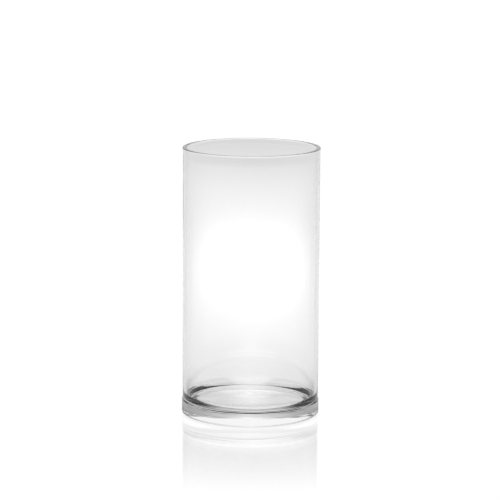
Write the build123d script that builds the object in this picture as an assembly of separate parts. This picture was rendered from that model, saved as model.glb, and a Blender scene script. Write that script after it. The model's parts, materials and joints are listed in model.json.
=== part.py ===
"""Glass cylinder vase, 10 x 20 cm, with a heavy base and a fire-polished rim.

Units are millimetres and +Z is up. The origin is the centre of the base on the surface that the
vase stands on, and the vase is a body of revolution about Z.

The real vase is one piece of glass. Its section is drawn once, then cut into the four zones that a
glassmaker names: the floor disc, the heel that turns the floor into the wall, the side wall and the
rim. Each zone is a plain disc or ring, and neighbours meet face to face.
"""

from build123d import *
import os

# Driving dimensions
HEIGHT = 200.0
WALL_DIAMETER = 101.5
WALL_THICKNESS = 2.8
BASE_DIAMETER = 102.5
FLOOR_THICKNESS = 10.0

# Inside of the base
INNER_CORNER_RADIUS = 6.5

# Outside of the base: the heavy foot stands a little proud of the wall
FOOT_CORNER_RADIUS = 1.5
FOOT_SHOULDER_LOW = 10.0
FOOT_SHOULDER_HIGH = 11.5

# Underside: a very shallow push-up, so that the vase stands on a ring
PUSH_UP_RADIUS = 43.0
PUSH_UP_RISE = 0.3

# Rim: a cut and fire-polished edge, whose flat top has small round corners. The heat swells it a little
# outwards and leaves the bore clear
RIM_SWELL = 0.2
RIM_BLEND = 4.1
RIM_CORNER_RADIUS = 0.4

# Radii and heights that follow
WALL_OUTER = WALL_DIAMETER / 2
WALL_INNER = WALL_OUTER - WALL_THICKNESS
BASE_OUTER = BASE_DIAMETER / 2
FLOOR_EDGE = WALL_INNER - INNER_CORNER_RADIUS
HEEL_TOP = FLOOR_THICKNESS + INNER_CORNER_RADIUS
RIM_OUTER = WALL_OUTER + RIM_SWELL
RIM_CORNER_HEIGHT = HEIGHT - RIM_CORNER_RADIUS
RIM_BOTTOM = RIM_CORNER_HEIGHT - RIM_BLEND


def underside():
    """The push-up from the axis to the standing ring, then the ring itself."""
    dome_radius = (PUSH_UP_RADIUS**2 + PUSH_UP_RISE**2) / (2 * PUSH_UP_RISE)
    half_way = PUSH_UP_RADIUS / 2
    dome_half_way = PUSH_UP_RISE - dome_radius + (dome_radius**2 - half_way**2) ** 0.5
    dome = ThreePointArc((0, PUSH_UP_RISE), (half_way, dome_half_way), (PUSH_UP_RADIUS, 0))
    ring = Line(dome @ 1, (BASE_OUTER - FOOT_CORNER_RADIUS, 0))
    return [dome, ring]


def foot_side():
    """The rounded foot corner, the proud band and the S-shaped shoulder up to the wall."""
    corner = RadiusArc(
        (BASE_OUTER - FOOT_CORNER_RADIUS, 0), (BASE_OUTER, FOOT_CORNER_RADIUS), -FOOT_CORNER_RADIUS
    )
    band = Line(corner @ 1, (BASE_OUTER, FOOT_SHOULDER_LOW))
    middle = ((BASE_OUTER + WALL_OUTER) / 2, (FOOT_SHOULDER_LOW + FOOT_SHOULDER_HIGH) / 2)
    shoulder_out = TangentArc(band @ 1, middle, tangent=(0, 1))
    shoulder_in = TangentArc(shoulder_out @ 1, (WALL_OUTER, FOOT_SHOULDER_HIGH), tangent=shoulder_out % 1)
    return [corner, band, shoulder_out, shoulder_in]


def rim():
    """The outside of the wall, the swelling up to the rim, and the flat top between its round corners."""
    outside = Line((WALL_OUTER, FOOT_SHOULDER_HIGH), (WALL_OUTER, RIM_BOTTOM))
    swell = Line(outside @ 1, (RIM_OUTER, RIM_CORNER_HEIGHT))
    outer_corner = RadiusArc(swell @ 1, (RIM_OUTER - RIM_CORNER_RADIUS, HEIGHT), -RIM_CORNER_RADIUS)
    top = Line(outer_corner @ 1, (WALL_INNER + RIM_CORNER_RADIUS, HEIGHT))
    inner_corner = RadiusArc(top @ 1, (WALL_INNER, RIM_CORNER_HEIGHT), -RIM_CORNER_RADIUS)
    return [outside, swell, outer_corner, top, inner_corner]


def inside():
    """The bore, the inner corner and the floor back to the axis."""
    bore = Line((WALL_INNER, RIM_CORNER_HEIGHT), (WALL_INNER, HEEL_TOP))
    corner = RadiusArc(bore @ 1, (FLOOR_EDGE, FLOOR_THICKNESS), INNER_CORNER_RADIUS)
    floor = Line(corner @ 1, (0, FLOOR_THICKNESS))
    axis = Line(floor @ 1, (0, PUSH_UP_RISE))
    return [bore, corner, floor, axis]


def glass_section():
    """Half of the vase's section, as a face in the XZ plane."""
    outline = Wire(underside() + foot_side() + rim() + inside())
    return Plane.XZ * make_face(outline)


def zone(inner, outer, low, high):
    """A rectangle in the XZ plane that cuts one zone out of the section."""
    middle = Pos((inner + outer) / 2, (low + high) / 2)
    return Plane.XZ * middle * Rectangle(outer - inner, high - low)


def turned(face):
    """A solid of revolution about Z."""
    return revolve(face, Axis.Z, 360)


def main():
    section = glass_section()
    beyond = BASE_OUTER + 10
    zones = {
        "base_disc": zone(0, FLOOR_EDGE, -1, HEEL_TOP),
        "heel_ring": zone(FLOOR_EDGE, beyond, -1, HEEL_TOP),
        "side_wall": zone(FLOOR_EDGE, beyond, HEEL_TOP, RIM_BOTTOM),
        "rim_bead": zone(FLOOR_EDGE, beyond, RIM_BOTTOM, HEIGHT + 1),
    }
    os.makedirs("parts", exist_ok=True)
    for name, cutter in zones.items():
        piece = turned(section & cutter)
        piece.label = name
        export_step(piece, f"parts/{name}.step")
        print(name, "volume", round(piece.volume), "mm3")


main()
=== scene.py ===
"""Looks, stage, light and camera for the glass cylinder vase. Metres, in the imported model's frame."""

import json
import math

import bmesh
import bpy
from mathutils import Matrix, Vector, noise


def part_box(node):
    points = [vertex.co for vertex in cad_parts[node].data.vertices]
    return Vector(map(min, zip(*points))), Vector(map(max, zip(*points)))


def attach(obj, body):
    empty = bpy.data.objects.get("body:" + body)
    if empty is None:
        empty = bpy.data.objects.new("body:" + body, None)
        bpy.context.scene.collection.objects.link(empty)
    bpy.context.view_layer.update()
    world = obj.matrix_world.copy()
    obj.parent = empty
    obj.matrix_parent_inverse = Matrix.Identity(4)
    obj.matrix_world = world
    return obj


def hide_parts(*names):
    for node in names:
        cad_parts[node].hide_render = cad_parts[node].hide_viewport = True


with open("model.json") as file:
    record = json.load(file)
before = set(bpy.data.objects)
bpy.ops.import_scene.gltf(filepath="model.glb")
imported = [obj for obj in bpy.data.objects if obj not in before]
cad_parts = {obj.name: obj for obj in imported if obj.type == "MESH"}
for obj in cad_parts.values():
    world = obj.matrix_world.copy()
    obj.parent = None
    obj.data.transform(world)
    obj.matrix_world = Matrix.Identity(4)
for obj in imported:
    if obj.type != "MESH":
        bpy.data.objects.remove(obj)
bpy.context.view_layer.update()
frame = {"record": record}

MM = 0.001

# Sizes that the frame gives
BORE_RADIUS = next(m for m in frame["record"]["mounts"] if m["name"] == "bore")["dims"]["r_mm"] * MM
WALL_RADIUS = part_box("side_wall")[1].x
FOOT_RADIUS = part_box("heel_ring")[1].x
HEEL_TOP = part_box("heel_ring")[1].z
RIM_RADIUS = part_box("rim_bead")[1].x
RIM_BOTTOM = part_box("rim_bead")[0].z
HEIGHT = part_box("rim_bead")[1].z
FLOOR_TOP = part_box("base_disc")[1].z
CORNER_RADIUS = HEEL_TOP - FLOOR_TOP
FLOOR_EDGE = BORE_RADIUS - CORNER_RADIUS

# Details of the foot and the rim that a box doesn't give
FOOT_CORNER = 1.5 * MM
SHOULDER_LOW = 10 * MM
SHOULDER_HIGH = 11.5 * MM
PUSH_UP_RADIUS = 43 * MM
PUSH_UP_RISE = 0.3 * MM
RIM_CORNER = 0.4 * MM

# How finely the glass is cut
AROUND = 288
WALL_ROWS = 44
DOME_STEPS = 24
SHORT_STEPS = 4
FOOT_STEPS = 12
SHOULDER_STEPS = 12
RIM_STEPS = 10
RIM_TOP_STEPS = 6
CORNER_STEPS = 18
FLOOR_STEPS = 20
AXIS_RADIUS = 1e-7


def arc(centre, radius, start, end, steps):
    """Points of a circular arc in the section, from one angle in degrees to another."""
    angles = [math.radians(start + (end - start) * i / steps) for i in range(steps + 1)]
    return [(centre[0] + radius * math.cos(a), centre[1] + radius * math.sin(a)) for a in angles]


def run(start, end, steps):
    """Points of a straight run in the section, without its two ends."""
    shares = [i / steps for i in range(1, steps)]
    return [tuple(a + (b - a) * s for a, b in zip(start, end)) for s in shares]


def glass_section():
    """Radius and height all round the glass: out along the underside, up, over the rim and in."""
    dome_radius = (PUSH_UP_RADIUS**2 + PUSH_UP_RISE**2) / (2 * PUSH_UP_RISE)
    dome_angle = math.degrees(math.asin(PUSH_UP_RADIUS / dome_radius))
    dome = arc((0, PUSH_UP_RISE - dome_radius), dome_radius, 90, 90 - dome_angle, DOME_STEPS)
    corner_middle = FOOT_RADIUS - FOOT_CORNER
    ring = run((PUSH_UP_RADIUS, 0), (corner_middle, 0), SHORT_STEPS)
    foot = arc((corner_middle, FOOT_CORNER), FOOT_CORNER, -90, 0, FOOT_STEPS)
    band = run((FOOT_RADIUS, FOOT_CORNER), (FOOT_RADIUS, SHOULDER_LOW), SHORT_STEPS)
    shoulder = []
    for i in range(SHOULDER_STEPS + 1):
        share = i / SHOULDER_STEPS
        ease = share * share * (3 - 2 * share)
        radius = FOOT_RADIUS + (WALL_RADIUS - FOOT_RADIUS) * ease
        shoulder.append((radius, SHOULDER_LOW + (SHOULDER_HIGH - SHOULDER_LOW) * share))
    wall_top = (WALL_RADIUS, RIM_BOTTOM)
    wall = run((WALL_RADIUS, SHOULDER_HIGH), wall_top, WALL_ROWS) + [wall_top]
    flare = run(wall_top, (RIM_RADIUS, HEIGHT - RIM_CORNER), SHORT_STEPS)
    rim_out = arc((RIM_RADIUS - RIM_CORNER, HEIGHT - RIM_CORNER), RIM_CORNER, 0, 90, RIM_STEPS)
    rim_top = run((RIM_RADIUS - RIM_CORNER, HEIGHT), (BORE_RADIUS + RIM_CORNER, HEIGHT), RIM_TOP_STEPS)
    rim_in = arc((BORE_RADIUS + RIM_CORNER, HEIGHT - RIM_CORNER), RIM_CORNER, 90, 180, RIM_STEPS)
    bore = run((BORE_RADIUS, HEIGHT - RIM_CORNER), (BORE_RADIUS, HEEL_TOP), WALL_ROWS)
    corner = arc((FLOOR_EDGE, HEEL_TOP), CORNER_RADIUS, 0, -90, CORNER_STEPS)
    floor = run((FLOOR_EDGE, FLOOR_TOP), (0, FLOOR_TOP), FLOOR_STEPS) + [(0, FLOOR_TOP)]
    outside = ring + foot + band + shoulder + wall + flare + rim_out + rim_top + rim_in
    return [("under", dome), ("outside", outside), ("bore", bore), ("corner", corner), ("floor", floor)]


# The inner floor leans a little and sits a little off the axis
FLOOR_TILT = 0.010
FLOOR_SHIFT = 0.5 * MM

# The slow unevenness of the glass: how deep it is, how long and how tall its swells are, and its seed
BORE_RIPPLE = 0.10 * MM
BORE_SWELL = (0.030, 0.090)
BORE_SEED = 3
FLOOR_RIPPLE = 0.02 * MM
FLOOR_SWELL = (0.014, 0.014)
FLOOR_SEED = 11
UNDER_RIPPLE = 0.02 * MM
UNDER_SWELL = (0.008, 0.008)
UNDER_SEED = 23


def swell(x, y, z, size, seed):
    """Smooth noise between 0 and 1 whose swells have that width and height."""
    place = Vector((x / size[0], y / size[0], z / size[1] + seed))
    return min(max(0.5 + 0.5 * noise.noise(place), 0), 1)


def uneven(radius, angle, height, zone):
    """A point of the section turned to that angle, moved into the glass by the unevenness of its zone."""
    x, y, z = radius * math.cos(angle), radius * math.sin(angle), height
    shift = 0
    if zone in ("corner", "floor"):
        share = min((BORE_RADIUS - radius) / CORNER_RADIUS, 1)
        z -= share * FLOOR_TILT * x
        shift = share * FLOOR_SHIFT
    if zone == "bore":
        radius += BORE_RIPPLE * (swell(x, y, z, BORE_SWELL, BORE_SEED) - 0.5)
    if zone == "floor":
        z += FLOOR_RIPPLE * (swell(x, y, z, FLOOR_SWELL, FLOOR_SEED) - 0.5)
    if zone == "under":
        z += UNDER_RIPPLE * swell(x, y, z, UNDER_SWELL, UNDER_SEED)
    return radius * math.cos(angle) + shift, radius * math.sin(angle), z


def lathe(name, section):
    """One closed mesh of revolution. The section is a list of zones, each with its name and its points."""
    mesh = bpy.data.meshes.new(name)
    shape = bmesh.new()
    rows = []
    for zone, points in section:
        for radius, height in points:
            steps = AROUND if radius > AXIS_RADIUS else 1
            angles = [2 * math.pi * i / steps for i in range(steps)]
            rows.append([shape.verts.new(uneven(radius, a, height, zone)) for a in angles])
    for low, high in zip(rows, rows[1:]):
        for i in range(AROUND):
            j = (i + 1) % AROUND
            if len(low) == 1:
                shape.faces.new((low[0], high[j], high[i]))
            elif len(high) == 1:
                shape.faces.new((low[i], low[j], high[0]))
            else:
                shape.faces.new((low[i], low[j], high[j], high[i]))
    bmesh.ops.recalc_face_normals(shape, faces=shape.faces)
    for face in shape.faces:
        face.smooth = True
    shape.to_mesh(mesh)
    shape.free()
    piece = bpy.data.objects.new(name, mesh)
    bpy.context.scene.collection.objects.link(piece)
    return piece


# The highest level that a curve can reach
CURVE_TOP = 4

# Clear glass: its index, the ends of its drifting grey, and the waves to the metre of what is in its skin
GLASS_INDEX = 1.5
GREY_ENDS = ((0.3, 0.955), (0.7, 0.985))
GREY_WAVES = (9, 9, 5)
CORD_WAVES = (60, 60, 12)
SKIN_WAVES = (170, 170, 170)
SKIN_SHARE = 0.15
CORD_STRENGTH = 1.0
CORD_DEPTH = 0.06 * MM


class Nodes:
    """Short ways to add and join the nodes of one tree."""

    def __init__(self, tree):
        self.tree = tree
        tree.nodes.clear()

    def add(self, kind, **settings):
        node = self.tree.nodes.new(kind)
        for key, value in settings.items():
            setattr(node, key, value)
        return node

    def join(self, source, target):
        if isinstance(source, (int, float)):
            target.default_value = source
        else:
            self.tree.links.new(source, target)

    def math(self, operation, *values):
        node = self.add("ShaderNodeMath", operation=operation)
        for value, socket in zip(values, node.inputs):
            self.join(value, socket)
        return node.outputs[0]

    def fade(self, value, start, end, at_start, at_end):
        """A smooth change from at_start to at_end while value goes from start to end."""
        node = self.add("ShaderNodeMapRange", interpolation_type="SMOOTHSTEP")
        keys = ("Value", "From Min", "From Max", "To Min", "To Max")
        for key, given in zip(keys, (value, start, end, at_start, at_end)):
            self.join(given, node.inputs[key])
        return node.outputs[0]

    def noise(self, place, scale, detail):
        """Smooth noise between 0 and 1, with that many waves to the metre along each axis."""
        stretch = self.add("ShaderNodeVectorMath", operation="MULTIPLY")
        self.join(place, stretch.inputs[0])
        stretch.inputs[1].default_value = scale
        node = self.add("ShaderNodeTexNoise")
        node.inputs["Scale"].default_value = 1
        node.inputs["Detail"].default_value = detail
        self.join(stretch.outputs[0], node.inputs["Vector"])
        return node.outputs["Fac"]

    def curve(self, value, points):
        """A smooth curve through points whose first number runs from 0 to 1, and whose second is a level."""
        ramp = self.add("ShaderNodeValToRGB")
        ramp.color_ramp.interpolation = "EASE"
        elements = ramp.color_ramp.elements
        while len(elements) < len(points):
            elements.new(0.5)
        for element, (position, level) in zip(elements, points):
            element.position = position
            element.color = (level / CURVE_TOP, level / CURVE_TOP, level / CURVE_TOP, 1)
        self.join(value, ramp.inputs[0])
        return self.math("MULTIPLY", ramp.outputs[0], CURVE_TOP)

    def turn(self, x, y):
        """How far round the vase a place or a direction lies: 0 straight behind it, 1 straight in front."""
        return self.math("DIVIDE", self.math("ARCTAN2", self.math("ABSOLUTE", x), y), math.pi)

    def layers(self, place, turn, rows):
        """Light that changes with turn. Each row takes over as place goes from its start to its end."""
        light = 0.0
        for start, end, points in rows:
            row = self.curve(turn, points)
            share = self.fade(place, start, end, 0.0, 1.0) if end > start else 1.0
            light = self.math("ADD", light, self.math("MULTIPLY", self.math("SUBTRACT", row, light), share))
        return light

    def straight(self, path):
        """1 for light that nothing has mirrored on its way, 0 for the rest."""
        return self.fade(path.outputs["Glossy Depth"], 0.0, 1.0, 1.0, 0.0)

    def split(self, vector):
        node = self.add("ShaderNodeSeparateXYZ")
        self.join(vector, node.inputs[0])
        return node.outputs


def glass_material():
    """Clear soda-lime glass: a trace of grey that drifts a little, and fine cords and ripples in its skin."""
    material = bpy.data.materials.new("clear_glass")
    material.use_nodes = True
    n = Nodes(material.node_tree)
    place = n.add("ShaderNodeTexCoord").outputs["Object"]
    shader = n.add("ShaderNodeBsdfPrincipled")
    shader.inputs["Roughness"].default_value = 0
    shader.inputs["IOR"].default_value = GLASS_INDEX
    shader.inputs["Transmission Weight"].default_value = 1
    drift = n.noise(place, GREY_WAVES, 2)
    tint = n.add("ShaderNodeValToRGB")
    for element, (position, level) in zip(tint.color_ramp.elements, GREY_ENDS):
        element.position = position
        element.color = (level, level, level, 1)
    n.join(drift, tint.inputs[0])
    n.join(tint.outputs[0], shader.inputs["Base Color"])
    cords = n.noise(place, CORD_WAVES, 2)
    skin = n.noise(place, SKIN_WAVES, 1)
    height = n.math("ADD", cords, n.math("MULTIPLY", skin, SKIN_SHARE))
    bump = n.add("ShaderNodeBump")
    bump.inputs["Strength"].default_value = CORD_STRENGTH
    bump.inputs["Distance"].default_value = CORD_DEPTH
    n.join(height, bump.inputs["Height"])
    n.join(bump.outputs[0], shader.inputs["Normal"])
    n.join(shader.outputs[0], n.add("ShaderNodeOutputMaterial").inputs[0])
    return material


def make_vase():
    vase = lathe("glass_vase", glass_section())
    vase.data.materials.append(glass_material())
    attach(vase, "root")
    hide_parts("base_disc", "heel_ring", "side_wall", "rim_bead")
    return vase


# What the glass sees of the floor: painted light and shade that the floor gives off, in rings from the middle
# of the vase outwards, with a painted contact shadow under the foot at the sides. Each has the radius where
# it starts, the width over which it blends in, and its light from straight behind the vase to the front.
# The levels here and in SKY_BANDS began as a least-squares fit, by a separate script, of the light round the
# vase to the tones of the reference. They were then merged, rounded and in part changed.
PAINTED_FLOOR_LIGHT = (
    (0.000, 0.000, ((0, 0.97), (1, 0.97))),
    (0.003, 0.024, ((0, 1.20), (0.12, 1.10), (0.33, 0.78), (0.50, 0.85), (0.65, 0.95), (1, 1.00))),
    # Painted shadow: under the foot ring the floor goes dark at the sides, standing in for the vase's contact
    # shadow
    (0.040, 0.002, ((0, 0.98), (0.20, 0.90), (0.36, 0.80), (0.42, 0.00), (0.68, 0.00), (0.85, 0.50))),
    (
        0.052,
        0.001,
        (
            (0, 0.96),
            (0.04, 0.95),
            (0.09, 0.74),
            (0.25, 0.85),
            (0.42, 0.70),
            (0.58, 0.45),
            (0.75, 1.10),
            (1, 1.40),
        ),
    ),
    (
        0.075,
        0.035,
        ((0, 0.90), (0.10, 0.84), (0.29, 0.74), (0.38, 0.55), (0.60, 0.50), (0.78, 0.50), (1, 1.20)),
    ),
    (0.120, 0.080, ((0, 0.92), (0.20, 0.84), (0.32, 0.80), (0.45, 0.90), (0.70, 0.95), (1, 1.00))),
    (0.600, 0.400, ((0, 0.93), (0.10, 0.88), (0.25, 0.75), (0.45, 0.85), (0.60, 0.95), (1, 0.95))),
    (1.000, 0.500, ((0, 0.74), (0.10, 0.78), (0.30, 0.70), (0.60, 0.80), (1, 0.80))),
)

# The painted pool of light that the floor gives off behind the vase
GLOW_LIGHT = 0.36
GLOW_PLACE = 0.60
GLOW_LENGTH = 0.28
GLOW_WIDTH = 0.14

# Light that went straight through the glass sees the floor beside the foot as it is nearly straight behind,
# and the far floor at one level, so that the glass is clear from the sides too
BESIDE_BLEND = 0.004
BESIDE_TURN = 0.16
FAR_START = 1.5
FAR_END = 4.0
HORIZON_LIGHT = 0.93

# The floor's soft mirror image, which only the camera sees
MIRROR_SHARE = 0.36
MIRROR_REACH = 0.26
MIRROR_NEAR = 0.35
MIRROR_RISE = 0.045
MIRROR_ROUGHNESS = 0.05

# What the camera sees of the floor, and what the camera and the floor's gloss see of the world
WHITE = 1.03
MIRROR_WHITE = 1.0


def floor_material():
    material = bpy.data.materials.new("floor")
    material.use_nodes = True
    n = Nodes(material.node_tree)
    x, y, _ = n.split(n.add("ShaderNodeTexCoord").outputs["Object"])
    radius = n.math("SQRT", n.math("ADD", n.math("MULTIPLY", x, x), n.math("MULTIPLY", y, y)))
    # Painted pool of light on the floor behind the vase
    across = n.math("DIVIDE", x, GLOW_WIDTH)
    along = n.math("DIVIDE", n.math("SUBTRACT", y, GLOW_PLACE), GLOW_LENGTH)
    spread = n.math("ADD", n.math("MULTIPLY", across, across), n.math("MULTIPLY", along, along))
    painted_glow = n.math("MULTIPLY", n.math("EXPONENT", n.math("MULTIPLY", spread, -1.0)), GLOW_LIGHT)
    path = n.add("ShaderNodeLightPath")
    straight = n.straight(path)
    beside = n.math("MULTIPLY", straight, n.fade(radius, FOOT_RADIUS, FOOT_RADIUS + BESIDE_BLEND, 0.0, 1.0))
    turn = n.math("MINIMUM", n.turn(x, y), n.fade(beside, 0.0, 1.0, 1.0, BESIDE_TURN))
    # Painted light and shade on the floor, with the painted shadow under the foot, for the glass to see
    light = n.layers(radius, turn, [(start, start + blend, points) for start, blend, points in PAINTED_FLOOR_LIGHT])
    far = n.math("MULTIPLY", straight, n.fade(radius, FAR_START, FAR_END, 0.0, 1.0))
    seen_by_glass = n.fade(far, 0.0, 1.0, n.math("ADD", light, painted_glow), HORIZON_LIGHT)
    strength = n.fade(path.outputs["Is Camera Ray"], 0.0, 1.0, seen_by_glass, WHITE)
    emission = n.add("ShaderNodeEmission")
    n.join(strength, emission.inputs["Strength"])
    gloss = n.add("ShaderNodeBsdfAnisotropic")
    gloss.inputs["Color"].default_value = (1, 1, 1, 1)
    gloss.inputs["Roughness"].default_value = MIRROR_ROUGHNESS
    mix = n.add("ShaderNodeMixShader")
    near = n.fade(radius, FOOT_RADIUS, FOOT_RADIUS + MIRROR_RISE, MIRROR_NEAR, 1.0)
    share = n.math("MULTIPLY", near, n.fade(radius, FOOT_RADIUS, MIRROR_REACH, MIRROR_SHARE, 0.0))
    n.join(n.math("MULTIPLY", share, path.outputs["Is Camera Ray"]), mix.inputs[0])
    n.join(emission.outputs[0], mix.inputs[1])
    n.join(gloss.outputs[0], mix.inputs[2])
    n.join(mix.outputs[0], n.add("ShaderNodeOutputMaterial").inputs[0])
    return material


# Half the floor's side, and the gap that keeps it clear of the underside
FLOOR_REACH = 8
FLOOR_GAP = 0.05 * MM


def make_floor():
    mesh = bpy.data.meshes.new("floor")
    corners = [(FLOOR_REACH * x, FLOOR_REACH * y, 0) for x, y in ((-1, -1), (1, -1), (1, 1), (-1, 1))]
    mesh.from_pydata(corners, [], [(0, 1, 2, 3)])
    floor = bpy.data.objects.new("floor", mesh)
    floor.location.z = -FLOOR_GAP
    bpy.context.scene.collection.objects.link(floor)
    mesh.materials.append(floor_material())
    return floor


# The camera: how far in front and how high it stands, its lens, where it looks and its roll in degrees
CAMERA_BACK = 1.797
CAMERA_HEIGHT = 0.450
CAMERA_LENS = 177
CAMERA_AIM = (-0.0008, 0, 0.1228)
CAMERA_ROLL = 0.33


def make_camera():
    camera = bpy.data.objects.new("camera", bpy.data.cameras.new("camera"))
    camera.data.sensor_width = 36
    camera.data.lens = CAMERA_LENS
    place = Vector((0, -CAMERA_BACK, CAMERA_HEIGHT))
    look = (Vector(CAMERA_AIM) - place).to_track_quat("-Z", "Y").to_matrix().to_4x4()
    roll = Matrix.Rotation(math.radians(CAMERA_ROLL), 4, "Z")
    camera.matrix_world = Matrix.Translation(place) @ look @ roll
    bpy.context.scene.collection.objects.link(camera)
    bpy.context.scene.camera = camera


# What the glass sees above the floor: bands by angle of height in degrees. Each has its start, the angle over
# which it blends in, and its light from behind to the front.
SKY_BANDS = (
    (0, 0, ((0, 1.30), (0.05, 0.98), (0.09, 0.65), (0.16, 0.42), (0.24, 0.15), (0.42, 0.03))),
    (9, 2, ((0, 0.95), (0.09, 0.75), (0.18, 0.55), (0.38, 0.48), (0.46, 0.05), (0.8, 0.05), (1, 0.30))),
    (14.3, 1.5, ((0, 0.0), (0.2, 0.0), (0.3, 0.6), (0.54, 0.7), (0.8, 0.90), (1, 0.8))),
    (48, 6, ((0, 0.6), (0.09, 0.25), (0.15, 0.02), (0.6, 0.1), (0.8, 0.6), (1, 1.1))),
)

# The level of all the bands, and what light that went straight through the glass sees just above the floor
SKY_LEVEL = 0.8
LOW_SKY_LIGHT = 1.15
LOW_SKY_TOP = (8, 14)


def sines(angles):
    return [math.sin(math.radians(angle)) for angle in angles]


def make_world():
    world = bpy.data.worlds.new("studio")
    world.use_nodes = True
    n = Nodes(world.node_tree)
    x, y, z = n.split(n.add("ShaderNodeTexCoord").outputs["Generated"])
    turn = n.turn(x, y)
    rows = [(*sines((start, start + blend)), points) for start, blend, points in SKY_BANDS]
    light = n.layers(z, turn, rows)
    light = n.math("MULTIPLY", light, SKY_LEVEL)
    path = n.add("ShaderNodeLightPath")
    low = n.fade(z, *sines(LOW_SKY_TOP), 1.0, 0.0)
    light = n.fade(n.math("MULTIPLY", n.straight(path), low), 0.0, 1.0, light, LOW_SKY_LIGHT)
    soft = n.math("SUBTRACT", path.outputs["Is Glossy Ray"], path.outputs["Is Singular Ray"])
    clear = n.math("MAXIMUM", path.outputs["Is Camera Ray"], soft)
    strength = n.fade(clear, 0.0, 1.0, light, MIRROR_WHITE)
    background = n.add("ShaderNodeBackground")
    background.inputs["Color"].default_value = (1, 1, 1, 1)
    n.join(strength, background.inputs["Strength"])
    n.join(background.outputs[0], n.add("ShaderNodeOutputWorld").inputs[0])
    bpy.context.scene.world = world
    bpy.context.scene.view_settings.view_transform = "Standard"


make_vase()
make_floor()
make_camera()
make_world()
